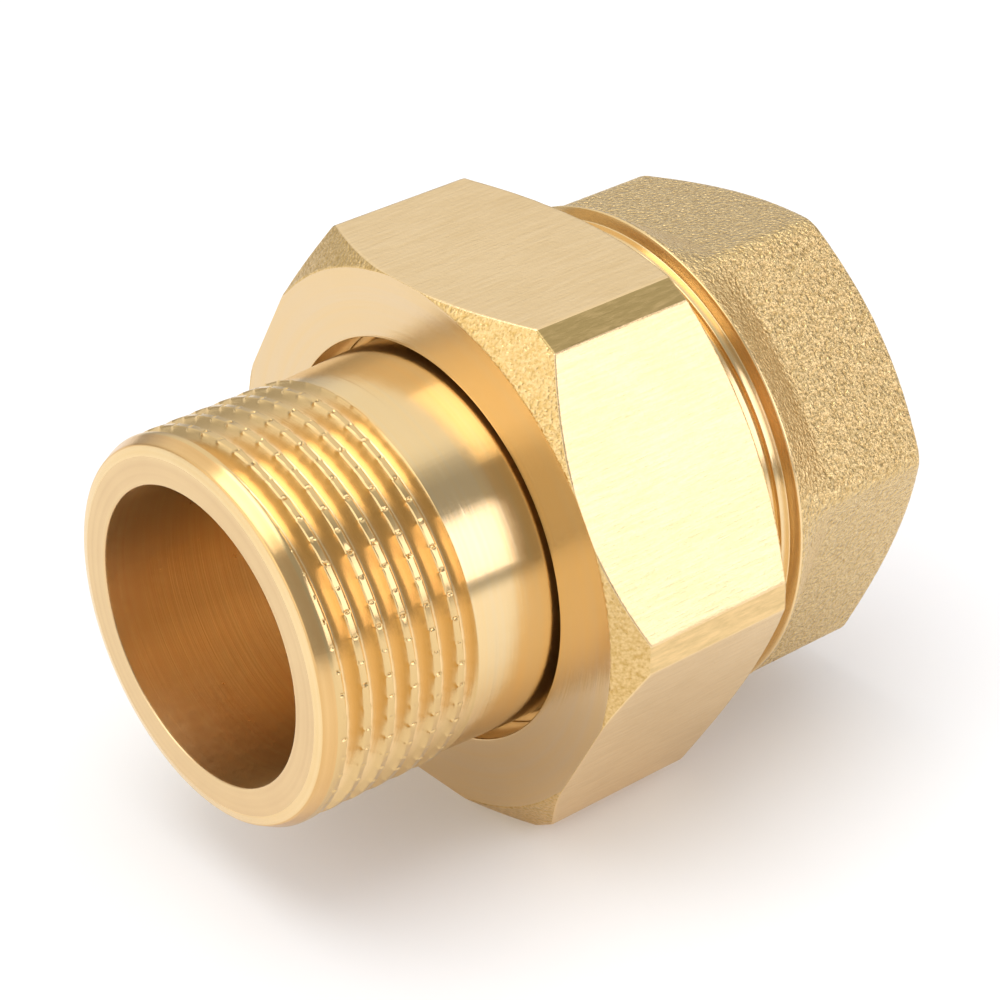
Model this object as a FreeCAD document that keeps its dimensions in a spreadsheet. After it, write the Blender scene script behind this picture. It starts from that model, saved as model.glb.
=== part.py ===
"""Pipe union, 1 inch, male by female, flat seat.

A hexagon nut pulls a tailpiece with a male pipe thread against a body with a
female pipe thread, and a flat washer seals the joint between them. Each piece
is drawn standing on its own +Z, and its heights are stations: distances along
the axis from the male end face. The pieces are then laid along +X, so that the
origin is on the axis at the mouth of the female port.
"""

import FreeCAD, Part
import os
import re
import Sketcher

# Driving dimensions in mm, angles in degrees.
SIZES = [
    # pipe threads: G 1 at both ports, G 1 1/4 under the nut
    ("port_thread_dia", 33.249),
    ("port_root_dia", 30.291),
    ("union_thread_dia", 41.910),
    ("union_root_dia", 38.952),
    ("thread_pitch", 2.309),
    ("flank_angle", 27.5),
    ("nut_thread_clearance", 0.25),
    # stations along the axis
    ("tail_thread_start", -2.86),
    ("tail_thread_end", 15.40),
    ("nut_front", 22.55),
    ("nut_shoulder", 26.50),
    ("flange_back", 30.50),
    ("seat_face", 32.50),
    ("nut_back", 40.80),
    ("groove_start", 41.30),
    ("collar_start", 43.50),
    ("collar_step", 44.50),
    ("rim_start", 44.80),
    ("rim_end", 45.40),
    ("socket_floor", 44.80),
    ("total_length", 61.10),
    # tailpiece
    ("bore_dia", 25.50),
    ("face_dia", 30.40),
    ("lead_edge_dia", 32.08),
    ("lead_edge_length", 0.25),
    ("lead_length", 1.40),
    ("neck_start", 14.50),
    ("neck_dia", 32.60),
    ("flange_dia", 38.20),
    # union nut
    ("nut_across_flats", 46.40),
    ("nut_corner_width", 2.50),
    ("nut_hole_dia", 35.10),
    ("nut_face_dia", 47.40),
    ("nut_front_angle", 40.0),
    ("nut_back_dia", 46.00),
    ("nut_back_angle", 30.0),
    ("nut_chamber_dia", 42.80),
    ("nut_chamber_end", 30.00),
    # body
    ("body_bore_dia", 27.00),
    ("groove_dia", 38.60),
    ("step_dia", 43.80),
    ("rim_dia", 44.60),
    ("slope_end", 49.40),
    ("body_across_flats", 38.00),
    ("body_corner_width", 2.20),
    ("body_turn", -8.5),
    ("body_back_dia", 36.00),
    ("body_back_angle", 30.0),
    ("socket_relief_dia", 33.80),
    ("socket_relief_end", 47.30),
    ("socket_mouth_dia", 34.40),
    # washer
    ("washer_hole_dia", 27.00),
    ("washer_dia", 38.00),
]

doc = FreeCAD.newDocument("PipeUnion")
sheet = doc.addObject("Spreadsheet::Sheet", "Sizes")
for row, (alias, value) in enumerate(SIZES, start=1):
    sheet.set(f"A{row}", alias)
    sheet.set(f"B{row}", str(value))
    sheet.setAlias(f"B{row}", alias)
doc.recompute()

ALIASES = {alias for alias, _ in SIZES}

# How far past an open face a cutting tool reaches, in mm.
TOOL_REACH = 1.0
# How far past a thread's crest its cutting tool reaches, as a part of the thread's depth.
CREST_REACH = 0.1


def bound(formula):
    """The formula with each size's name turned into a reference to its cell."""
    return re.sub(r"[a-z_]+", lambda word: f"Sizes.{word[0]}" if word[0] in ALIASES else word[0], formula)


def number(formula):
    """The formula's present value."""
    value = sheet.evalExpression(bound(formula))
    return float(getattr(value, "Value", value))


def new_piece(label):
    """An empty piece, named after its node."""
    piece = doc.addObject("PartDesign::Body", label)
    piece.Label = label
    return piece


def sketch_on(piece, name, role):
    """A sketch on one of the piece's own origin planes."""
    sketch = piece.newObject("Sketcher::SketchObject", name)
    plane = next(feature for feature in piece.Origin.OriginFeatures if feature.Role == role)
    sketch.AttachmentSupport = [(plane, "")]
    sketch.MapMode = "FlatFace"
    return sketch


def pin_corner(sketch, edge, across, up):
    """Hold the start of an edge at two distances from the sketch's origin."""
    for kind, formula in (("DistanceX", across), ("DistanceY", up)):
        distance = Sketcher.Constraint(kind, -1, 1, edge, 1, number(formula))
        index = sketch.addConstraint(distance)
        sketch.setExpression(f"Constraints[{index}]", bound(formula))


def outline(sketch, corners):
    """A closed outline of straight edges through corners given as formulas."""
    points = [FreeCAD.Vector(number(across), number(up), 0) for across, up in corners]
    for start, end in zip(points, points[1:] + points[:1]):
        sketch.addGeometry(Part.LineSegment(start, end), False)
    for edge, (across, up) in enumerate(corners):
        following = (edge + 1) % len(corners)
        sketch.addConstraint(Sketcher.Constraint("Coincident", edge, 2, following, 1))
        pin_corner(sketch, edge, across, up)


def turned(piece, kind, name, corners):
    """A Revolution or a Groove, from an outline of (radius, station) corners."""
    sketch = sketch_on(piece, f"{name}Profile", "XZ_Plane")
    outline(sketch, corners)
    feature = piece.newObject(f"PartDesign::{kind}", name)
    feature.Profile = sketch
    feature.ReferenceAxis = (sketch, ["V_Axis"])
    feature.Angle = 360.0
    doc.recompute()
    return feature


def hexagon(piece, name, across_flats, corner_width, turn, start, end):
    """A hexagonal bar between two stations, its corners cut flat to corner_width."""
    corners = []
    for k in range(6):
        angle = f"(({60 * k} + {turn}) * 1deg)"
        # the cut's middle is nearer the axis than the sharp corner is
        middle = f"({across_flats} / 2 / cos(30deg) - {corner_width} / 2 * tan(30deg))"
        for side in ("-1", "1"):
            aside = f"({side} * {corner_width} / 2)"
            across = f"{middle} * cos({angle}) - {aside} * sin({angle})"
            up = f"{middle} * sin({angle}) + {aside} * cos({angle})"
            corners.append((across, up))
    sketch = sketch_on(piece, f"{name}Profile", "XY_Plane")
    outline(sketch, corners)
    sketch.setExpression("AttachmentOffset.Base.z", bound(f"({start}) * 1mm"))
    bar = piece.newObject("PartDesign::Pad", name)
    bar.Profile = sketch
    bar.setExpression("Length", bound(f"({end} - {start}) * 1mm"))
    doc.recompute()
    return bar


def thread(piece, name, root, crest, start, end):
    """A right-hand V groove with a flat root, cut in from the crest radius to the root radius.

    Its middle is at the start station on the piece's own +X side. The root lies outside
    the crest in an internal thread. Ridge and groove are alike: each is 5/6 of the pitch
    wide where it is widest and 1/6 where it is narrowest.
    """
    reach = f"(({crest} - ({root})) * {CREST_REACH})"
    mouth = f"({crest} + {reach})"
    half_root = "thread_pitch / 12"
    half_mouth = f"(thread_pitch * 5 / 12 + abs({reach}) * tan(flank_angle * 1deg))"
    corners = [
        (root, f"{start} - {half_root}"),
        (mouth, f"{start} - {half_mouth}"),
        (mouth, f"{start} + {half_mouth}"),
        (root, f"{start} + {half_root}"),
    ]
    sketch = sketch_on(piece, f"{name}Profile", "XZ_Plane")
    outline(sketch, corners)
    groove = piece.newObject("PartDesign::SubtractiveHelix", name)
    groove.Profile = sketch
    groove.ReferenceAxis = (sketch, ["V_Axis"])
    groove.HasBeenEdited = True
    groove.Mode = "pitch-height-angle"
    groove.setExpression("Pitch", bound("thread_pitch * 1mm"))
    groove.setExpression("Height", bound(f"({end} - ({start})) * 1mm"))
    doc.recompute()
    return groove


def male_tailpiece():
    """The tube with the male port, and the flange that the nut pulls on."""
    piece = new_piece("male_tailpiece")
    turned(piece, "Revolution", "Tube", [
        ("bore_dia / 2", "0"),
        ("face_dia / 2", "0"),
        ("lead_edge_dia / 2", "lead_edge_length"),
        ("port_thread_dia / 2", "lead_length"),
        ("port_thread_dia / 2", "neck_start"),
        ("neck_dia / 2", "neck_start"),
        ("neck_dia / 2", "nut_shoulder"),
        ("flange_dia / 2", "nut_shoulder"),
        ("flange_dia / 2", "flange_back"),
        ("bore_dia / 2", "flange_back"),
    ])
    thread(piece, "PortThread", "port_root_dia / 2", "port_thread_dia / 2",
           "tail_thread_start", "tail_thread_end")
    return piece


def union_nut():
    """The hexagon nut, its lip behind the flange and its thread on the body."""
    piece = new_piece("union_nut")
    hexagon(piece, "Bar", "nut_across_flats", "nut_corner_width", "0", "nut_front", "nut_back")
    # each end chamfer is cut by a triangle that is open outwards
    outside = "nut_across_flats"
    for name, end, dia, angle, side in (
        ("FrontChamfer", "nut_front", "nut_face_dia", "nut_front_angle", "1"),
        ("BackChamfer", "nut_back", "nut_back_dia", "nut_back_angle", "-1"),
    ):
        rise = f"({outside} - {dia} / 2) * tan({angle} * 1deg)"
        turned(piece, "Groove", name, [
            (f"{dia} / 2", end),
            (outside, end),
            (outside, f"{end} + {side} * {rise}"),
        ])
    internal_crest = "(union_root_dia / 2 + nut_thread_clearance)"
    turned(piece, "Groove", "Inside", [
        ("0", f"nut_front - {TOOL_REACH}"),
        ("nut_hole_dia / 2", f"nut_front - {TOOL_REACH}"),
        ("nut_hole_dia / 2", "nut_shoulder"),
        ("nut_chamber_dia / 2", "nut_shoulder"),
        ("nut_chamber_dia / 2", "nut_chamber_end"),
        (internal_crest, "nut_chamber_end"),
        (internal_crest, f"nut_back + {TOOL_REACH}"),
        ("0", f"nut_back + {TOOL_REACH}"),
    ])
    # the nut's groove runs over the body's ridge, half a pitch from the body's own groove
    thread(piece, "NutThread", "union_thread_dia / 2 + nut_thread_clearance", internal_crest,
           "seat_face - thread_pitch * 5 / 2", "nut_back + thread_pitch / 2")
    return piece


def female_body():
    """The forged hexagon body: external union thread in front, female port behind."""
    piece = new_piece("female_body")
    turned(piece, "Revolution", "Spigot", [
        ("body_bore_dia / 2", "seat_face"),
        ("union_thread_dia / 2 - 1", "seat_face"),
        ("union_thread_dia / 2", "seat_face + 1"),
        ("union_thread_dia / 2", "groove_start"),
        ("groove_dia / 2", "groove_start + 1"),
        ("groove_dia / 2", "collar_start"),
        ("union_thread_dia / 2", "collar_start"),
        ("union_thread_dia / 2", "collar_step"),
        ("step_dia / 2", "collar_step"),
        ("rim_dia / 2", "rim_start"),
        ("rim_dia / 2", "rim_end"),
        ("body_across_flats / 2 - 1", "slope_end + 1"),
        ("body_bore_dia / 2", "slope_end + 1"),
    ])
    thread(piece, "UnionThread", "union_root_dia / 2", "union_thread_dia / 2",
           "seat_face - thread_pitch", "groove_start + thread_pitch / 2")
    hexagon(piece, "Bar", "body_across_flats", "body_corner_width", "body_turn",
            "rim_end", "total_length")
    outside = "body_across_flats"
    rise = f"({outside} - body_back_dia / 2) * tan(body_back_angle * 1deg)"
    turned(piece, "Groove", "BackChamfer", [
        ("body_back_dia / 2", "total_length"),
        (outside, "total_length"),
        (outside, f"total_length - {rise}"),
    ])
    mouth_depth = "(socket_mouth_dia - port_root_dia) / 2"
    turned(piece, "Groove", "Socket", [
        ("0", f"seat_face - {TOOL_REACH}"),
        ("body_bore_dia / 2", f"seat_face - {TOOL_REACH}"),
        ("body_bore_dia / 2", "socket_floor"),
        ("socket_relief_dia / 2", "socket_floor"),
        ("socket_relief_dia / 2", "socket_relief_end"),
        ("port_root_dia / 2", "socket_relief_end"),
        ("port_root_dia / 2", f"total_length - {mouth_depth}"),
        ("socket_mouth_dia / 2", "total_length"),
        ("socket_mouth_dia / 2", f"total_length + {TOOL_REACH}"),
        ("0", f"total_length + {TOOL_REACH}"),
    ])
    thread(piece, "PortThread", "port_thread_dia / 2", "port_root_dia / 2",
           "socket_relief_end - thread_pitch / 2", "total_length + thread_pitch / 2")
    return piece


def seal():
    """The flat washer between the tailpiece's flange and the body's seat."""
    piece = new_piece("seal")
    turned(piece, "Revolution", "Ring", [
        ("washer_hole_dia / 2", "flange_back"),
        ("washer_dia / 2", "flange_back"),
        ("washer_dia / 2", "seat_face"),
        ("washer_hole_dia / 2", "seat_face"),
    ])
    return piece


def lay_along_x(piece):
    """Lay the piece down: its X, Y and Z become the union's Y, Z and X."""
    cycle = FreeCAD.Rotation(FreeCAD.Vector(1, 1, 1), 120)
    piece.Placement = FreeCAD.Placement(FreeCAD.Vector(0, 0, 0), cycle)
    piece.setExpression("Placement.Base.x", bound("-total_length * 1mm"))


pieces = [male_tailpiece(), union_nut(), female_body(), seal()]
for piece in pieces:
    lay_along_x(piece)
doc.recompute()

failed = [item.Label for item in doc.Objects if {"Invalid", "Error"} & set(item.State)]
if failed:
    raise RuntimeError(f"objects that did not recompute: {failed}")
for piece in pieces:
    if piece.Shape.isNull() or not piece.Shape.isValid() or len(piece.Shape.Solids) != 1:
        raise RuntimeError(f"{piece.Label} is not one valid solid")

os.makedirs("parts", exist_ok=True)
for piece in pieces:
    piece.Shape.exportStep(f"parts/{piece.Label}.step")
    box = piece.Shape.BoundBox
    print(f"{piece.Label}: {piece.Shape.Volume:.0f} mm3, X {box.XMin:.2f} to {box.XMax:.2f}, "
          f"Y {box.YMin:.2f} to {box.YMax:.2f}, Z {box.ZMin:.2f} to {box.ZMax:.2f}")
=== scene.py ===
"""Looks of a brass pipe union: a tailpiece, a hexagon nut, a forged body and a flat washer.

Every piece is a closed skin of rings round the union's axis. A ring's place along the
axis is its station, in mm from the male end face, as in the CAD model.
"""
import math

import bmesh
import bpy
import numpy as np
from mathutils import Matrix, Vector, noise


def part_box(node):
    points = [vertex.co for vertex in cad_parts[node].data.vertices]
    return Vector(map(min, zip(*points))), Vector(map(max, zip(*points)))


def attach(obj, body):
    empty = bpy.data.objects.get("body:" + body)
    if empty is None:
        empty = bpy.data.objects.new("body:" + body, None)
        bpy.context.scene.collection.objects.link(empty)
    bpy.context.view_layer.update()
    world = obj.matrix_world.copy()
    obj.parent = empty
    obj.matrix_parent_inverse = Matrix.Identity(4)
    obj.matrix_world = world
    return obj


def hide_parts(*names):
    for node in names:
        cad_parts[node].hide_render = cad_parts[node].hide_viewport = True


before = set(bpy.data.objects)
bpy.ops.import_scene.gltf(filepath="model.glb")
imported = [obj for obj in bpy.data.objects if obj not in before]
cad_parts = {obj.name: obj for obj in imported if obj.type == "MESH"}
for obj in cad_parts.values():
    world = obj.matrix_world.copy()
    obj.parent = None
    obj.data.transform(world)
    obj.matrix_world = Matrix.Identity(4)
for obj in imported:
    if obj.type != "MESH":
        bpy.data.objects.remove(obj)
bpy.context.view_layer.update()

MM = 0.001
TURN = 2 * math.pi

# ---------------------------------------------------------------- sizes, in mm

TAIL_LOW, TAIL_HIGH = (np.array(corner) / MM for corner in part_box("male_tailpiece"))
NUT_LOW, NUT_HIGH = (np.array(corner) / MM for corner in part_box("union_nut"))
BODY_LOW = np.array(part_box("female_body")[0]) / MM

# read from the frame
LENGTH = -TAIL_LOW[0]
NUT_FRONT = NUT_LOW[0] + LENGTH
NUT_BACK = NUT_HIGH[0] + LENGTH
SEAT = BODY_LOW[0] + LENGTH
FLANGE_BACK = TAIL_HIGH[0] + LENGTH
FLANGE_R = TAIL_HIGH[1]
NUT_FLAT_R = NUT_HIGH[2]
# in metres: the union rests on the nut's lowest flat
FLOOR_Z = NUT_LOW[2] * MM

# threads: a land is the flat on a crest, and a thread fades in and out over FADE_TURNS
PITCH = 2.309
THREAD_DEPTH = 1.479
PORT_R = 33.249 / 2
UNION_R = 41.910 / 2
NUT_THREAD_GAP = 0.25
FLANK_SLOPE = math.tan(math.radians(27.5))
TAIL_LAND = 0.4
LAND = 0.385
FADE_TURNS = 0.08

# nicks across the male thread's crests, each with a burr beside it
NICKS = 52
NICK_DEPTH = 0.2
NICK_WIDTH = 0.17
BURR_HEIGHT = 0.2
BURR_WIDTH = 0.18
BURR_ASIDE = 0.1

# tailpiece
BORE_R = 12.75
FACE_R = 15.2
LEAD_EDGE_R = 16.04
LEAD_EDGE_LENGTH = 0.25
LEAD_LENGTH = 1.4
TAIL_THREAD_START = -2.86
TAIL_THREAD_END = 15.4
NECK_START = 14.5
RUNOUT_END = 16.9
NECK_R = 16.30
NECK_GROWTH = 0.35
NECK_LEAN = 0.42
NECK_END = 22.6
LIP_BACK = 26.5

# nut
NUT_CORNER_WIDTH = 2.5
NUT_SHARP_CORNER_WIDTH = 0.5
NUT_FACE_R = 23.7
NUT_BACK_R = 23.0
NUT_HOLE_R = 17.55
NUT_CHAMBER_R = 21.35
NUT_CHAMBER_END = 29.4
NUT_THREAD_START = 30.2
NUT_FRONT_SLOPE = math.tan(math.radians(40))
BACK_SLOPE = math.tan(math.radians(30))

# body
BODY_FLAT_R = 19.0
BODY_CORNER_R = 21.65
BODY_TURN = math.radians(-8.5)
BODY_BACK_R = 18.0
UNION_TURNS = 5.3
UNION_END = 41.3
SHOULDER_START = 41.7
SHOULDER_R = 20.6
RING_START = 43.5
RING_END = 44.4
RIM_START = 44.75
RIM_END = 45.05
RIM_R = 21.95
SLOPE_END = 48.2
SLOPE_BULGE = 1.3
GRAIN_START = 46
PASSAGE_R = 13.5
SOCKET_FLOOR = 44.8
SOCKET_RELIEF_R = 16.9
SOCKET_RELIEF_END = 47.3
SOCKET_MOUTH_R = 17.2

# washer
WASHER_EDGE_R = 18.8
WASHER_R = 19.0

# ---------------------------------------------------------------- rings and skins


def circle(count):
    """Evenly spaced angles round the axis."""
    return np.arange(count) * TURN / count


def rounded_corner(before, corner, after, rounding, steps=3):
    """Rows of (station, radius) that replace a corner by a small curve."""
    to_before = before - corner
    to_after = after - corner
    length_before = np.hypot(*to_before) + 1e-9
    length_after = np.hypot(*to_after) + 1e-9
    cut = np.minimum(rounding, 0.45 * np.minimum(length_before, length_after))
    start = corner + to_before * cut / length_before
    end = corner + to_after * cut / length_after
    rows = []
    for t in np.linspace(0, 1, steps + 1):
        rows.append((1 - t) ** 2 * start + 2 * t * (1 - t) * corner + t ** 2 * end)
    return rows


def between(start, end, spacing, support=0.2):
    """Rows between two rows: one close to each end, and the rest evenly spaced."""
    length = float(np.mean(np.hypot(*(end - start))))
    if length < 3 * support:
        return []
    near = support / length
    count = max(2, int(round(length / spacing)) + 1)
    return [start + (end - start) * t for t in np.linspace(near, 1 - near, count)]


class Thread:
    """A V groove along a right-hand helix, with its middle at start on the side of angle 0.

    first and last are where it begins and ends, in turns from there. An outside thread's
    groove goes inward from the crest, and an inside thread's goes outward. nicks is how many
    there are in a turn. From neck_start on, the tube that it is cut in is the tailpiece's neck.
    """

    def __init__(self, start, crest_r, land, inward=True, first=-100, last=100, nicks=0, neck_start=None,
                 root_rounding=0.25):
        self.start = start
        self.crest_r = crest_r
        self.crest_edge = 0.5 - land / PITCH / 2
        self.inward = inward
        self.first = first
        self.last = last
        self.nicks = nicks
        self.neck_start = neck_start
        self.root_rounding = root_rounding

    def phases(self):
        """Where one pitch needs rings, from one groove's middle to the next, as parts of a pitch.

        They are closest together at the crest's edges, above all where there are nicks.
        """
        edge = self.crest_edge
        if self.nicks:
            half = [0, 0.02, 0.05]
            half += list(np.linspace(0.09, edge - 0.11, 4))
            half += [edge - 0.08, edge - 0.055, edge - 0.03, edge - 0.01, edge + 0.015, edge + 0.06, 0.5]
        else:
            half = [0, 0.06, 0.5 * edge, edge - 0.02, edge + 0.02, 0.5]
        return np.array(half + [1 - phase for phase in reversed(half[:-1])])

    def depth(self, stations, angles):
        """How deep the groove is at these places, in mm."""
        along = (stations - self.start) / PITCH - angles / TURN
        phase = np.abs((along + 0.5) % 1 - 0.5)
        flank = (self.crest_edge - phase) * PITCH / FLANK_SLOPE
        flank = (flank + np.hypot(flank, 0.04)) / 2
        depth = (flank + THREAD_DEPTH - np.hypot(flank - THREAD_DEPTH, self.root_rounding)) / 2
        turns = np.floor(along + 0.5) + angles / TURN
        begun = np.clip((turns - self.first) / FADE_TURNS, 0, 1)
        not_ended = np.clip((self.last - turns) / FADE_TURNS, 0, 1)
        if self.nicks:
            depth = self.nicked(depth, along, phase, angles)
        return np.maximum(depth, 0) * (begun * not_ended)

    def nicked(self, depth, along, phase, angles):
        """The depth with its nicks and burrs, which differ a little in size and place."""
        spacing = TURN * self.crest_r / self.nicks
        number = np.round((np.floor(along) + angles / TURN) * self.nicks)
        uneven = 1 + 0.3 * np.sin(2.4 * number)
        shifted = 0.06 * np.sin(1.9 * number)
        aside = ((angles * self.nicks / TURN + 0.5) % 1 - 0.5) * spacing + shifted
        on_crest = np.clip((phase - self.crest_edge + 0.02) / 0.04, 0, 1)
        on_edge = np.exp(-((phase - self.crest_edge + 0.045) / 0.03) ** 2)
        nick = np.exp(-(aside / NICK_WIDTH) ** 2)
        burr = np.exp(-((aside - BURR_ASIDE) / BURR_WIDTH) ** 2)
        return depth + NICK_DEPTH * uneven * on_crest * nick - BURR_HEIGHT * uneven * on_edge * burr

    def plain_radius(self, station, low, high):
        """Radius of the surface that the groove is cut in, between the rows low and high."""
        if not self.neck_start:
            return low[1] + (high[1] - low[1]) * (station - low[0]) / (high[0] - low[0])
        drop = np.clip((station - self.neck_start) / 0.3, 0, 1)
        along = np.clip((station - self.neck_start) / (high[0] - self.neck_start), 0, 1)
        neck = NECK_R + (high[1] - NECK_R) * along
        return low[1] + (neck - low[1]) * drop


class Skin:
    """Rows of stations and radii that become one closed mesh.

    patches holds (zone, mask, patch): where the mask is true, that zone becomes the patch.
    A mask is true or false for each column, or for each row and column.
    """

    def __init__(self, angles):
        self.angles = np.asarray(angles, dtype=float)
        self.rows = []
        self.zones = []
        self.shifts = []
        self.patches = []

    def place(self, station, radius):
        """Stations and radii all the way round, from numbers or from one for each angle."""
        size = self.angles.shape
        return np.stack([np.broadcast_to(station, size), np.broadcast_to(radius, size)]).astype(float)

    def row(self, values, zone, shift=0):
        """One ring, as (station, radius). zone is the material of the band that follows it."""
        self.rows.append(self.place(*values))
        self.zones.append(zone)
        self.shifts.append(shift)

    def outline(self, corners):
        """Rings through a closed outline of corners.

        Each corner is (station, radius, rounding, zone, spacing or Thread), the last two
        for the side that follows it.
        """
        places = [self.place(station, radius) for station, radius, *_ in corners]
        count = len(corners)
        arcs = []
        for k, (_, _, rounding, _, _) in enumerate(corners):
            arcs.append(rounded_corner(places[k - 1], places[k], places[(k + 1) % count], rounding))
        for k, (_, _, _, zone, filling) in enumerate(corners):
            for values in arcs[k]:
                self.row(values, zone)
            start, end = arcs[k][-1], arcs[(k + 1) % count][0]
            if isinstance(filling, Thread):
                self.helix(start, end, zone, filling)
            else:
                for values in between(start, end, filling):
                    self.row(values, zone)

    def helix(self, start, end, zone, thread):
        """Rings that climb one pitch a turn, held between two plain rings."""
        low, high = sorted((start, end), key=lambda row: row[0].mean())
        phases = thread.phases()
        per_turn = len(phases) - 1
        below = math.ceil((thread.start - low[0].min()) / PITCH) + 1
        first = thread.start - below * PITCH
        turns = math.ceil((high[0].max() - first) / PITCH) + 1
        climb = self.angles / TURN * PITCH
        block = []
        for k in range(turns * per_turn + 1):
            offset = (k // per_turn + phases[k % per_turn]) * PITCH
            station = np.clip(first + offset + climb, low[0], high[0])
            plain = thread.plain_radius(station, low, high)
            depth = thread.depth(station, self.angles)
            if thread.inward:
                radius = np.minimum(plain, thread.crest_r - depth)
            else:
                radius = np.maximum(plain, thread.crest_r + depth)
            block.append((station, radius))
        shift = per_turn
        if start[0].mean() > end[0].mean():
            block.reverse()
            shift = -per_turn
        for values in block:
            self.row(values, zone, shift)

    def in_zone(self, name):
        """1 for each row whose band is of that zone and 0 for the others, as a column."""
        return np.array([zone == name for zone in self.zones], dtype=float)[:, None]

    def points(self):
        """The rings' corners in metres, in the frame."""
        rows = np.array(self.rows)
        stations, radii = rows[:, 0], rows[:, 1]
        points = [stations - LENGTH, radii * np.cos(self.angles), radii * np.sin(self.angles)]
        return np.stack(points, axis=-1) * MM

    def faces(self):
        """Quads between neighbouring rings, with a helix's climb taken up at the seam."""
        count, columns = len(self.rows), len(self.angles)
        here = np.arange(count)
        above = (here + 1) % count
        seam = np.array([self.over_seam(k) for k in range(count)])
        quads = np.empty((count, columns, 4), dtype=int)
        for column in range(columns):
            side = (column + 1) % columns
            here_side, above_side = (here, above) if side else (seam, seam[above])
            quads[:, column, 0] = here * columns + column
            quads[:, column, 1] = here_side * columns + side
            quads[:, column, 2] = above_side * columns + side
            quads[:, column, 3] = above * columns + column
        return quads.reshape(-1, 4)

    def over_seam(self, k):
        """The ring that carries on ring k across the seam at angle 0."""
        step = (self.shifts[k] > 0) - (self.shifts[k] < 0)
        for _ in range(abs(self.shifts[k])):
            beyond = k + step
            if not 0 <= beyond < len(self.rows) or not self.shifts[beyond]:
                break
            k = beyond
        return k

    def mesh(self, name, materials, roughen=None):
        """The finished object. roughen moves the points (rows, columns, 3) before they are joined."""
        points = self.points()
        if roughen:
            points = roughen(points)
        quads = self.faces()
        mesh = bpy.data.meshes.new(name)
        mesh.from_pydata(points.reshape(-1, 3).tolist(), [], quads.tolist())
        zones = np.repeat(np.array(self.zones, dtype="U12")[:, None], len(self.angles), axis=1)
        for zone, mask, patch in self.patches:
            zones[(zones == zone) & mask] = patch
        slots, index = np.unique(zones, return_inverse=True)
        for slot in slots:
            mesh.materials.append(materials[str(slot)])
        mesh.polygons.foreach_set("material_index", index.ravel())
        skin = bmesh.new()
        skin.from_mesh(mesh)
        bmesh.ops.remove_doubles(skin, verts=skin.verts, dist=2e-7)
        bmesh.ops.dissolve_degenerate(skin, edges=skin.edges, dist=1e-7)
        bmesh.ops.recalc_face_normals(skin, faces=skin.faces)
        skin.to_mesh(mesh)
        skin.free()
        mesh.shade_smooth()
        mesh.set_sharp_from_angle(angle=math.radians(38))
        piece = bpy.data.objects.new(name, mesh)
        bpy.context.scene.collection.objects.link(piece)
        return piece


# ---------------------------------------------------------------- the pieces


def hexagon_columns(flat_r, corner_widths, rounding, flat_count=26, strip_count=4):
    """Round a hexagon whose corners are cut into flat strips: angles, radii, and which are strip."""
    corners = []
    for k, width in enumerate(corner_widths):
        turn = complex(math.cos(k * TURN / 6), math.sin(k * TURN / 6))
        middle_r = flat_r / math.cos(math.pi / 6) - width / 2 * math.tan(math.pi / 6)
        for side in (-0.5, 0.5):
            corners.append(complex(middle_r, side * width) * turn)
    places = []
    on_strip = []
    count = len(corners)
    for k, corner in enumerate(corners):
        before, after = corners[k - 1] - corner, corners[(k + 1) % count] - corner
        reach = min(rounding, 0.3 * abs(before), 0.3 * abs(after))
        start = corner + before / abs(before) * reach
        end = corner + after / abs(after) * reach
        strip_follows = k % 2 == 0
        for t in (0, 1 / 3, 2 / 3, 1):
            places.append((1 - t) ** 2 * start + 2 * t * (1 - t) * corner + t ** 2 * end)
            on_strip.append((t > 0.5) == strip_follows)
        goal = corners[(k + 1) % count] - after / abs(after) * reach
        near = min(0.25, 0.2 / abs(goal - end))
        steps = np.linspace(near, 1 - near, strip_count if strip_follows else flat_count)
        places += [end + (goal - end) * t for t in steps]
        on_strip += [strip_follows] * len(steps)
    places = np.array(places)
    angles = np.angle(places) % TURN
    order = np.argsort(angles)
    return angles[order], np.abs(places)[order], np.array(on_strip)[order]


def rounded_hexagon(angles, flat_r, corner_r, turn):
    """Radius at each angle of a hexagon with rounded corners, its first corner at angle turn.

    corner_r is the corners' own radius, at each angle.
    """
    from_corner = (angles - turn + TURN / 12) % (TURN / 6) - TURN / 12
    flat = flat_r / np.cos(TURN / 12 - np.abs(from_corner))
    centre = (flat_r - corner_r) / math.cos(TURN / 12)
    reach = np.maximum(corner_r ** 2 - (centre * np.sin(from_corner)) ** 2, 0)
    arc = centre * np.cos(from_corner) + np.sqrt(reach)
    arc_end = np.arctan2(corner_r * math.sin(TURN / 12), centre + corner_r * math.cos(TURN / 12))
    return np.where(np.abs(from_corner) < arc_end, arc, flat)


def nicked_columns(count, crest_r):
    """Angles close together at each nick and wide between the nicks."""
    offsets = np.array([-0.32, -0.2, -0.1, 0, 0.1, 0.2, 0.34, 1.0]) / crest_r
    return np.sort(np.add.outer(np.arange(count) * TURN / count, offsets).ravel() % TURN)


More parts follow.
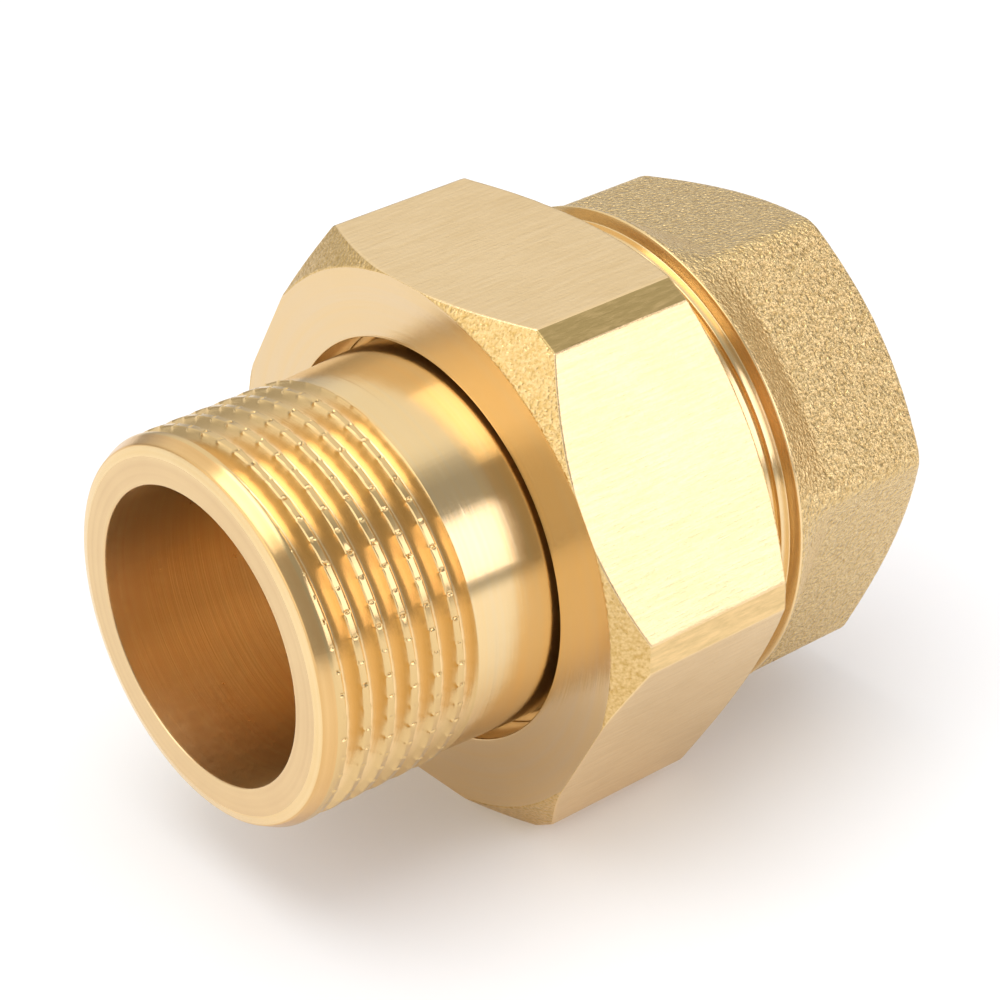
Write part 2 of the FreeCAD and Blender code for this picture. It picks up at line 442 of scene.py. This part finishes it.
def make_tailpiece(materials):
    """The tube with the male port: nicked thread, satin neck, and a flange inside the nut."""
    skin = Skin(nicked_columns(NICKS, PORT_R))
    last = (TAIL_THREAD_END - TAIL_THREAD_START) / PITCH
    thread = Thread(TAIL_THREAD_START, PORT_R, TAIL_LAND, first=0.0, last=last, nicks=NICKS,
                    neck_start=NECK_START, root_rounding=0.7)
    # the neck widens and leans a little towards one side of the nut's hole
    neck_end_r = NECK_R + NECK_GROWTH + NECK_LEAN * np.cos(skin.angles - math.radians(140))
    runout_r = NECK_R + (neck_end_r - NECK_R) * (RUNOUT_END - NECK_START) / (NECK_END - NECK_START)
    skin.outline([
        (0, BORE_R, 0.15, "face", 0.5),
        (0, FACE_R, 0.08, "chamfer", 0.5),
        (LEAD_EDGE_LENGTH, LEAD_EDGE_R, 0.12, "lead", 0.5),
        (LEAD_LENGTH, PORT_R, 0.2, "thread", thread),
        (RUNOUT_END, runout_r, 0.05, "neck", 0.6),
        (NECK_END, neck_end_r, 0.8, "neck", 0.8),
        (LIP_BACK, neck_end_r, 0.3, "neck", 1.0),
        (LIP_BACK, FLANGE_R, 0.25, "neck", 1.0),
        (FLANGE_BACK, FLANGE_R, 0.25, "face", 1.0),
        (FLANGE_BACK, BORE_R, 0.2, "bore", 0.8),
    ])
    # past the thread's run-out, the rings that climb with it are part of the neck
    stations, radii = np.array(skin.rows).transpose(1, 0, 2)
    on_neck = (stations > NECK_START + 0.25) & (radii > NECK_R - 0.01)
    skin.patches.append(("thread", on_neck, "neck"))
    return skin.mesh("tailpiece", materials)


def roughened(points, weight, size, height):
    """Points moved along the surface's normal by smooth noise of that grain size, in metres."""
    along = np.roll(points, -1, axis=0) - np.roll(points, 1, axis=0)
    round_axis = np.roll(points, -1, axis=1) - np.roll(points, 1, axis=1)
    normals = np.cross(round_axis, along)
    lengths = np.linalg.norm(normals, axis=-1, keepdims=True)
    normals = np.where(lengths > 1e-12, normals / np.maximum(lengths, 1e-12), 0)
    moved = points.copy()
    for row, column in zip(*np.nonzero(weight > 0)):
        place = Vector(points[row, column] / size)
        lift = noise.noise(place) + 0.5 * noise.noise(place * 2.3)
        moved[row, column] += normals[row, column] * lift * height * weight[row, column]
    return moved


def make_nut(materials):
    """The hexagon nut: turned annulus in front, milled flats, forged chamfers, thread inside."""
    # the nut's second corner is nearly sharp
    widths = [NUT_CORNER_WIDTH] * 6
    widths[1] = NUT_SHARP_CORNER_WIDTH
    angles, outside, on_strip = hexagon_columns(NUT_FLAT_R, widths, 0.22)
    skin = Skin(angles)
    skin.patches.append(("flat", on_strip & np.roll(on_strip, -1), "strip"))
    # the front face is turned a little off centre, so one corner's chamfer is wider
    face_r = NUT_FACE_R - 0.8 * np.maximum(np.cos(angles - math.radians(120)), 0) ** 4
    front_r = np.minimum(face_r, outside - 0.02)
    back_r = np.minimum(NUT_BACK_R, outside - 0.02)
    front_edge = NUT_FRONT + np.maximum((outside - face_r) * NUT_FRONT_SLOPE, 0.02)
    back_edge = NUT_BACK - np.maximum((outside - NUT_BACK_R) * BACK_SLOPE, 0.02)
    crest_r = UNION_R - THREAD_DEPTH + NUT_THREAD_GAP
    thread = Thread(SEAT - 2.5 * PITCH, crest_r, LAND, inward=False)
    skin.outline([
        (NUT_FRONT, NUT_HOLE_R, 0.12, "annulus", 0.6),
        (NUT_FRONT, front_r, 0.12, "chamfer", 0.35),
        (front_edge, outside, 0.12, "flat", 0.7),
        (back_edge, outside, 0.12, "chamfer", 0.35),
        (NUT_BACK, back_r, 0.12, "annulus", 0.8),
        (NUT_BACK, UNION_R + 0.6, 0.12, "bore", 0.6),
        (NUT_BACK - 1.4, crest_r, 0.05, "bore", thread),
        (NUT_THREAD_START, crest_r, 0.05, "bore", 0.6),
        (NUT_CHAMBER_END, NUT_CHAMBER_R, 0.1, "bore", 1.0),
        (LIP_BACK, NUT_CHAMBER_R, 0.2, "bore", 1.0),
        (LIP_BACK, NUT_HOLE_R, 0.2, "bore", 1.0),
    ])
    # the forged grain fades out where the front chamfer narrows to nothing
    weight = skin.in_zone("chamfer") * np.clip((outside - face_r) / 0.4, 0, 1)
    return skin.mesh("nut", materials, lambda points: roughened(points, weight, 0.7 * MM, 0.03 * MM))


def make_body(materials):
    """The forged hexagon body: union thread and turned shoulder in front, female port behind."""
    skin = Skin(circle(540))
    # the forging's lowest corner in front is sharper than the rest
    lowest = np.abs(skin.angles - math.radians(231.5)) < TURN / 12
    hexagon = rounded_hexagon(skin.angles, BODY_FLAT_R, np.where(lowest, 0.6, 2.0), BODY_TURN)
    to_flat = (BODY_CORNER_R - hexagon) / (BODY_CORNER_R - BODY_FLAT_R)
    slope_end = SLOPE_END + SLOPE_BULGE * np.sqrt(np.clip(to_flat, 0, 1))
    back_edge = LENGTH - np.maximum((hexagon - BODY_BACK_R) * BACK_SLOPE, 0.1)
    outer = Thread(SEAT - PITCH, UNION_R, LAND, first=0.0, last=UNION_TURNS)
    crest_r = PORT_R - THREAD_DEPTH
    inner = Thread(SOCKET_RELIEF_END - PITCH / 2, crest_r, LAND, inward=False)
    skin.outline([
        (SEAT, PASSAGE_R, 0.2, "turned", 1.0),
        (SEAT, UNION_R - 1, 0.1, "turned", 0.4),
        (SEAT + 1, UNION_R, 0.1, "turned", outer),
        (UNION_END, UNION_R, 0.1, "turned", 0.5),
        (SHOULDER_START, SHOULDER_R, 0.1, "turned", 0.5),
        (RING_START - 0.2, SHOULDER_R, 0.05, "turned", 0.4),
        (RING_START - 0.1, SHOULDER_R - 0.15, 0.05, "turned", 0.4),
        (RING_START, UNION_R, 0.08, "ring", 0.3),
        (RING_END, UNION_R, 0.06, "band", 0.3),
        (RIM_START, RIM_R, 0.08, "turned", 0.2),
        (RIM_END, RIM_R, 0.2, "forged", 0.2),
        (slope_end, hexagon, 0.5, "forged", 0.25),
        (back_edge, hexagon, 0.35, "forged", 0.25),
        (LENGTH, BODY_BACK_R, 0.15, "band", 0.4),
        (LENGTH, SOCKET_MOUTH_R, 0.1, "bore", 0.5),
        (LENGTH - (SOCKET_MOUTH_R - crest_r), crest_r, 0.05, "bore", inner),
        (SOCKET_RELIEF_END, crest_r, 0.05, "bore", 0.5),
        (SOCKET_RELIEF_END - 0.1, SOCKET_RELIEF_R, 0.1, "bore", 0.7),
        (SOCKET_FLOOR, SOCKET_RELIEF_R, 0.2, "bore", 0.7),
        (SOCKET_FLOOR, PASSAGE_R, 0.2, "bore", 1.0),
    ])
    # the grain starts a little behind the rim
    stations = np.array(skin.rows)[:, 0]
    weight = skin.in_zone("forged") * np.clip((stations - GRAIN_START) / 0.8, 0, 1)
    return skin.mesh("body", materials, lambda points: roughened(points, weight, 0.5 * MM, 0.016 * MM))


def make_washer(materials):
    """The flat washer, its outer edge squeezed out a little."""
    skin = Skin(circle(160))
    middle = (FLANGE_BACK + SEAT) / 2
    skin.outline([
        (FLANGE_BACK, PASSAGE_R, 0.15, "rubber", 0.8),
        (FLANGE_BACK, WASHER_EDGE_R, 0.3, "rubber", 0.4),
        (middle, WASHER_R, 0.4, "rubber", 0.4),
        (SEAT, WASHER_EDGE_R, 0.3, "rubber", 0.8),
        (SEAT, PASSAGE_R, 0.15, "rubber", 0.4),
    ])
    return skin.mesh("washer", materials)


# ---------------------------------------------------------------- materials


class Nodes:
    """Short calls for building a tree of nodes."""

    def __init__(self, tree, coordinates):
        self.tree = tree
        self.place = self.tree.nodes.new("ShaderNodeTexCoord").outputs[coordinates]

    def link(self, source, target):
        self.tree.links.new(source, target)

    def fill(self, node, values):
        """A node's first output, once its first inputs have these sockets or numbers."""
        for socket, value in zip(node.inputs, values):
            if isinstance(value, (int, float)):
                socket.default_value = value
            else:
                self.link(value, socket)
        return node.outputs[0]

    def math(self, operation, *values):
        """One sum, of sockets or numbers."""
        node = self.tree.nodes.new("ShaderNodeMath")
        node.operation = operation
        return self.fill(node, values)

    def vector(self, x, y, z):
        """A vector from three sockets or numbers."""
        return self.fill(self.tree.nodes.new("ShaderNodeCombineXYZ"), (x, y, z))

    def split(self, vector):
        """The three parts of a vector."""
        node = self.tree.nodes.new("ShaderNodeSeparateXYZ")
        self.link(vector, node.inputs[0])
        return node.outputs

    def step(self, value, dark, light):
        """0 where a value is at dark, going smoothly to 1 where it is at light."""
        node = self.tree.nodes.new("ShaderNodeMapRange")
        node.interpolation_type = "SMOOTHSTEP"
        self.link(value, node.inputs["Value"])
        node.inputs["From Min"].default_value = dark
        node.inputs["From Max"].default_value = light
        return node.outputs["Result"]


class Surface(Nodes):
    """Short calls for building one material."""

    def __init__(self, name, metallic=0.0):
        self.material = bpy.data.materials.new(name)
        self.material.use_nodes = True
        self.material.node_tree.nodes.clear()
        super().__init__(self.material.node_tree, "Object")
        out = self.tree.nodes.new("ShaderNodeOutputMaterial")
        self.shader = self.tree.nodes.new("ShaderNodeBsdfPrincipled")
        self.shader.inputs["Metallic"].default_value = metallic
        self.link(self.shader.outputs["BSDF"], out.inputs["Surface"])

    def noise(self, vector, scale, detail=2.0, roughness=0.5):
        """Noise from about 0 to 1."""
        node = self.tree.nodes.new("ShaderNodeTexNoise")
        self.link(vector, node.inputs["Vector"])
        node.inputs["Scale"].default_value = scale
        node.inputs["Detail"].default_value = detail
        node.inputs["Roughness"].default_value = roughness
        return node.outputs["Fac"]

    def cells(self, vector, scale):
        """Distance to the nearest of scattered points."""
        node = self.tree.nodes.new("ShaderNodeTexVoronoi")
        self.link(vector, node.inputs["Vector"])
        node.inputs["Scale"].default_value = scale
        return node.outputs["Distance"]

    def blend(self, first, first_share, second, second_share):
        """Two values added up, each with its share."""
        return self.math("ADD", self.math("MULTIPLY", first, first_share),
                         self.math("MULTIPLY", second, second_share))

    def colored(self, value, stops):
        """Give the shader a colour that goes from one of two stops to the other along a value."""
        node = self.tree.nodes.new("ShaderNodeValToRGB")
        self.link(value, node.inputs[0])
        for element, (position, color) in zip(node.color_ramp.elements, stops):
            element.position = position
            element.color = (*color, 1.0)
        self.link(node.outputs[0], self.shader.inputs["Base Color"])

    def rough(self, value, low, high):
        """Give the shader a roughness that runs from low to high as a value goes from 0 to 1."""
        spread = self.math("ADD", self.math("MULTIPLY", value, high - low), low)
        self.link(spread, self.shader.inputs["Roughness"])

    def bumpy(self, height, distance):
        """Give the shader a bump whose full height is distance, in metres."""
        node = self.tree.nodes.new("ShaderNodeBump")
        node.inputs["Strength"].default_value = 1.0
        node.inputs["Distance"].default_value = distance
        self.link(height, node.inputs["Height"])
        self.link(node.outputs["Normal"], self.shader.inputs["Normal"])

    def radius(self):
        """Distance from the union's axis, in metres."""
        _, y, z = self.split(self.place)
        squares = self.math("ADD", self.math("MULTIPLY", y, y), self.math("MULTIPLY", z, z))
        return self.math("SQRT", squares)

    def rings(self, across, along, detail):
        """Noise in rings round the union's axis, with so many lines a metre across and along them."""
        x, y, z = self.split(self.place)
        crossing = self.blend(x, across, self.radius(), across * 1.1)
        place = self.vector(crossing, self.math("MULTIPLY", y, along), self.math("MULTIPLY", z, along))
        return self.noise(place, 1.0, detail=detail)

    def streaks(self, along, across, roughness):
        """Noise in streaks along the union's axis, with so many a metre along and across it."""
        x, y, z = self.split(self.place)
        place = self.vector(self.math("MULTIPLY", x, along), self.math("MULTIPLY", y, across),
                            self.math("MULTIPLY", z, across))
        return self.noise(place, 1.0, detail=3, roughness=roughness)


PALE_BRASS = (0.88, 0.66, 0.36)
GOLD_BRASS = (0.84, 0.60, 0.29)
CREAM_BRASS = (0.80, 0.58, 0.31)
MILKY_BRASS = (0.88, 0.66, 0.37)
STRAW_BRASS = (0.79, 0.57, 0.29)
FACE_BRASS = (0.73, 0.51, 0.27)
RED_BRASS = (1.0, 0.74, 0.39)
WARM_BRASS = (0.96, 0.66, 0.33)
# the drawn strips' dark stop, reached in their low streaks and in the painted shade near the nut's top
OLIVE_BRASS = (0.42, 0.30, 0.12)
NECK_BRASS = (0.80, 0.61, 0.34)
LEAD_BRASS = (0.79, 0.51, 0.22)
AMBER_BRASS = (0.72, 0.44, 0.175)
DULL_BRASS = (0.78, 0.59, 0.36)
# groove bottoms are painted paler than the crests, a painted lift against the shade between the flanks
VALLEY_BRASS = (0.90, 0.655, 0.345)
CREST_BRASS = (0.74, 0.52, 0.24)
# pit colours of the forged grain: partly the brass's own tone, partly painted shade in the hollows
NUT_PIT_BRASS = (0.58, 0.37, 0.12)
NUT_GRAIN_BRASS = (0.78, 0.55, 0.25)
BODY_PIT_BRASS = (0.58, 0.39, 0.155)
BODY_GRAIN_BRASS = (0.79, 0.585, 0.285)
DARK_RUBBER = (0.018, 0.017, 0.016)
WORN_RUBBER = (0.035, 0.033, 0.03)


def turned_brass(name, roughness, line_height, tint=PALE_BRASS, deep=GOLD_BRASS, anisotropy=0.5, radii=None):
    """Brass cut on a lathe: fine rings, with the light drawn out across them.

    Its colour goes from deep to tint: at random, or with radii given, mostly from the first
    to the second of these two distances from the axis, in metres.
    """
    nodes = Surface(name, metallic=1.0)
    nodes.shader.inputs["Anisotropic"].default_value = anisotropy
    nodes.shader.inputs["Anisotropic Rotation"].default_value = 0.25
    tangent = nodes.tree.nodes.new("ShaderNodeTangent")
    tangent.direction_type = "RADIAL"
    tangent.axis = "X"
    nodes.link(tangent.outputs[0], nodes.shader.inputs["Tangent"])
    fine = nodes.rings(9000, 60, detail=2)
    broad = nodes.rings(1800, 20, detail=1)
    specks = nodes.noise(nodes.place, 1500, detail=1)
    cloud = nodes.noise(nodes.place, 140, detail=2)
    tone = nodes.blend(cloud, 0.4, broad, 0.6)
    if radii:
        inner, outer = radii
        rise = nodes.math("MULTIPLY", nodes.math("SUBTRACT", nodes.radius(), inner), 1 / (outer - inner))
        tone = nodes.blend(tone, 0.3, rise, 0.7)
    nodes.colored(tone, [(0.35, deep), (0.65, tint)])
    nodes.rough(specks, roughness * 0.85, roughness * 1.15)
    nodes.bumpy(nodes.math("ADD", fine, broad), line_height)
    return nodes.material


def milled_brass(name, roughness):
    """Brass flats with faint straight cutter lines and specks."""
    nodes = Surface(name, metallic=1.0)
    lines = nodes.streaks(300, 3600, roughness=0.7)
    specks = nodes.noise(nodes.place, 2600, detail=2, roughness=0.7)
    cloud = nodes.noise(nodes.place, 110, detail=3)
    nodes.colored(nodes.blend(cloud, 0.25, lines, 0.75), [(0.35, STRAW_BRASS), (0.65, MILKY_BRASS)])
    nodes.rough(specks, roughness * 0.7, roughness * 1.3)
    nodes.bumpy(nodes.math("ADD", lines, specks), 0.00003)
    return nodes.material


def drawn_brass(name, roughness):
    """The bar's own skin on the nut's corners: long drawn streaks, with painted shade darkening them towards
    the top.
    """
    nodes = Surface(name, metallic=1.0)
    streaks = nodes.streaks(450, 2600, roughness=0.65)
    # painted shade: the streaks' tone falls with height, so the nut's upper corner strips come out darker
    _, _, z = nodes.split(nodes.place)
    rise = nodes.math("MULTIPLY", z, 1 / (2 * NUT_FLAT_R * MM))
    tone = nodes.math("SUBTRACT", nodes.math("ADD", streaks, 0.35), nodes.math("MULTIPLY", rise, 1.3))
    nodes.colored(tone, [(0.2, OLIVE_BRASS), (1.0, GOLD_BRASS)])
    nodes.rough(streaks, roughness * 0.8, roughness * 1.2)
    nodes.bumpy(streaks, 0.00005)
    return nodes.material


def forged_brass(name, roughness, grain, grain_height, deep, tint):
    """Shot-blasted forging: a glittering grain, with so many grains a metre."""
    nodes = Surface(name, metallic=1.0)
    lumps = nodes.noise(nodes.place, grain, detail=1, roughness=0.6)
    fine = nodes.noise(nodes.place, grain * 2.1, detail=1)
    pits = nodes.cells(nodes.place, grain * 1.2)
    pitted = nodes.math("ADD", lumps, nodes.math("MULTIPLY", pits, -0.5))
    height = nodes.math("ADD", pitted, nodes.math("MULTIPLY", fine, 0.35))
    # the grain's pits and low places are darker: partly the blasted brass's own tone, partly painted shade
    # in the hollows
    nodes.colored(height, [(0.1, deep), (0.65, tint)])
    nodes.rough(fine, roughness * 0.8, roughness * 1.2)
    nodes.bumpy(height, grain_height)
    return nodes.material


def rubber(name):
    """The washer's dark rubber, with a faint moulded grain."""
    nodes = Surface(name)
    nodes.shader.inputs["Roughness"].default_value = 0.6
    grain = nodes.noise(nodes.place, 3000, detail=2)
    nodes.colored(grain, [(0.3, DARK_RUBBER), (0.7, WORN_RUBBER)])
    nodes.bumpy(grain, 0.00001)
    return nodes.material


# ---------------------------------------------------------------- assembly

smooth_turned = turned_brass("turned_brass", 0.22, 0.000005)
face_turned = turned_brass("face_brass", 0.32, 0.000006, tint=CREAM_BRASS, deep=FACE_BRASS)
lead_turned = turned_brass("lead_brass", 0.22, 0.000005, tint=LEAD_BRASS, deep=AMBER_BRASS)
neck_turned = turned_brass("neck_brass", 0.18, 0.000004, tint=NECK_BRASS)
# painted light: the thread is paler at the groove's bottom and darker on the crests, making up for the shade
# and deeper colour between the flanks
thread_turned = turned_brass("thread_brass", 0.20, 0.000003, tint=CREST_BRASS, deep=VALLEY_BRASS,
                             anisotropy=0.3, radii=(0.0152, 0.0166))
bore_turned = turned_brass("bore_brass", 0.30, 0.00001, tint=RED_BRASS, deep=WARM_BRASS)
annulus_turned = turned_brass("annulus_brass", 0.20, 0.000008, tint=DULL_BRASS, deep=CREAM_BRASS)
flat_milled = milled_brass("milled_brass", 0.32)
strip_drawn = drawn_brass("drawn_brass", 0.36)
nut_forged = forged_brass("nut_forged_brass", 0.30, 3000, 0.00008, deep=NUT_PIT_BRASS, tint=NUT_GRAIN_BRASS)
body_forged = forged_brass("body_forged_brass", 0.28, 2600, 0.00023, deep=BODY_PIT_BRASS,
                           tint=BODY_GRAIN_BRASS)

tailpiece = make_tailpiece({
    "face": face_turned,
    "chamfer": smooth_turned,
    "lead": lead_turned,
    "thread": thread_turned,
    "neck": neck_turned,
    "bore": bore_turned,
})
nut = make_nut({
    "annulus": annulus_turned,
    "chamfer": nut_forged,
    "flat": flat_milled,
    "strip": strip_drawn,
    "bore": bore_turned,
})
body = make_body({
    "turned": smooth_turned,
    "ring": neck_turned,
    "band": smooth_turned,
    "forged": body_forged,
    "bore": bore_turned,
})
washer = make_washer({"rubber": rubber("washer_rubber")})

for piece, part, node, slot in (
    (tailpiece, "tailpiece", "male_tailpiece", "turned_brass"),
    (nut, "nut", "union_nut", "nut_brass"),
    (body, "body", "female_body", "forged_brass"),
    (washer, "washer", "seal", "washer"),
):
    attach(piece, part)
    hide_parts(node)

# ---------------------------------------------------------------- studio


def camera():
    """A long lens, looking at the male end from the left, above."""
    azimuth, elevation, roll = (math.radians(degrees) for degrees in (-39.55, 30.23, -1.00))
    back = Vector((math.sin(azimuth) * math.cos(elevation), -math.cos(azimuth) * math.cos(elevation),
                   math.sin(elevation)))
    level = Vector((math.cos(azimuth), math.sin(azimuth), 0))
    upright = back.cross(level)
    right = level * math.cos(roll) + upright * math.sin(roll)
    up = back.cross(right)
    # in mm, from the middle of the male end face
    distance, aside, above = 269.64, 23.83, 10.86
    place = back * distance + right * aside + up * above - Vector((LENGTH, 0, 0))
    data = bpy.data.cameras.new("camera")
    data.sensor_width = 36.0
    data.lens = 123.5
    data.clip_start = 0.01
    seen_from = Matrix((right, up, back)).transposed().to_4x4()
    seen_from.translation = place * MM
    holder = bpy.data.objects.new("camera", data)
    holder.matrix_world = seen_from
    bpy.context.scene.collection.objects.link(holder)
    bpy.context.scene.camera = holder


def softbox(name, direction, size, radiance, color=(1, 1, 1)):
    """A rectangular light that faces the union from a direction."""
    data = bpy.data.lights.new(name, "AREA")
    data.shape = "RECTANGLE"
    data.size, data.size_y = size
    data.energy = radiance * math.pi * size[0] * size[1]
    data.color = color
    holder = bpy.data.objects.new(name, data)
    middle = Vector((-0.03, 0, 0))
    distance = 0.6
    toward = Vector(direction).normalized()
    holder.location = middle + toward * distance
    holder.rotation_euler = toward.to_track_quat("Z", "Y").to_euler()
    bpy.context.scene.collection.objects.link(holder)


def room():
    """The room's light: dim in front, lighter above and behind, and lightest on the left."""
    world = bpy.data.worlds.new("room")
    world.use_nodes = True
    nodes = Nodes(world.node_tree, "Generated")
    x, y, z = nodes.split(nodes.place)
    above_behind = nodes.math("MULTIPLY", nodes.step(y, -0.45, -0.1), nodes.step(z, -0.1, 0.6))
    level = nodes.math("MULTIPLY_ADD", above_behind, 0.60, 0.41)
    level = nodes.math("MULTIPLY_ADD", nodes.step(x, -0.5, -0.95), 0.9, level)
    background = world.node_tree.nodes["Background"]
    nodes.link(level, background.inputs["Strength"])
    background.inputs["Color"].default_value = (1, 1, 1, 1)
    bpy.context.scene.world = world


def studio():
    """A pale floor, a softly lit room and two softboxes."""
    bpy.ops.mesh.primitive_plane_add(size=4, location=(0, 0, FLOOR_Z))
    floor = bpy.context.object
    floor.name = "floor"
    nodes = Surface("floor")
    nodes.shader.inputs["Roughness"].default_value = 0.7
    nodes.shader.inputs["Base Color"].default_value = (0.84, 0.84, 0.84, 1)
    # a little light of its own keeps the floor as white as the photo's ground
    nodes.shader.inputs["Emission Color"].default_value = (1, 1, 1, 1)
    nodes.shader.inputs["Emission Strength"].default_value = 0.12
    floor.data.materials.append(nodes.material)
    room()
    # less green and more blue than white, so that the nut's lit flat looks cream and not yellow
    softbox("front_softbox", (0.55, -0.744, 0.379), (0.56, 0.34), 1.8, color=(1.0, 0.95, 1.06))
    softbox("top_softbox", (-0.2, 0.0, 0.98), (0.56, 0.41), 1.85)
    # this transform lets the floor come out white
    bpy.context.scene.view_settings.view_transform = "Standard"


camera()
studio()
